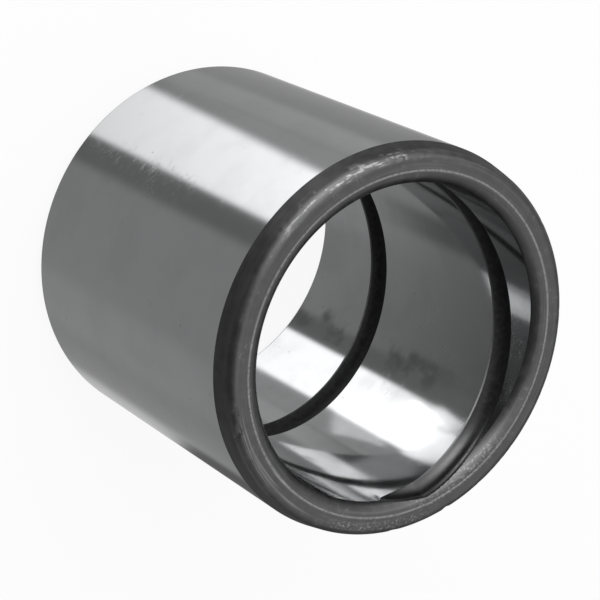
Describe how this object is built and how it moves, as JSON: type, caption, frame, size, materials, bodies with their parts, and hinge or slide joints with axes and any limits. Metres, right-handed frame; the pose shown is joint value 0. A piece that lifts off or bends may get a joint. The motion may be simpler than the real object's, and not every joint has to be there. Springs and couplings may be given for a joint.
{
  "type": "sleeve bushing",
  "caption": "Plain steel sleeve bushing with a ground bore and outside, a tapered lead-in at one end and a left-hand helical grease groove in the bore.",
  "frame": {"origin": "on the bushing's axis in the plane of the back end face, on which it stands", "axes": "+Z along the axis, towards the end with the tapered lead-in; +X from the axis, 26.5 degrees before the place where the front end of the grease groove runs out to nothing, counted counter-clockwise from above"},
  "size_m": [0.08, 0.08, 0.08],
  "materials": {
    "steel": "ground smooth on the outside and in the bore; dark and unground on the lead-in, the end faces, the mouths and the groove"
  },
  "bodies": {
    "root": {"sleeve": "steel"}
  },
  "joints": []
}
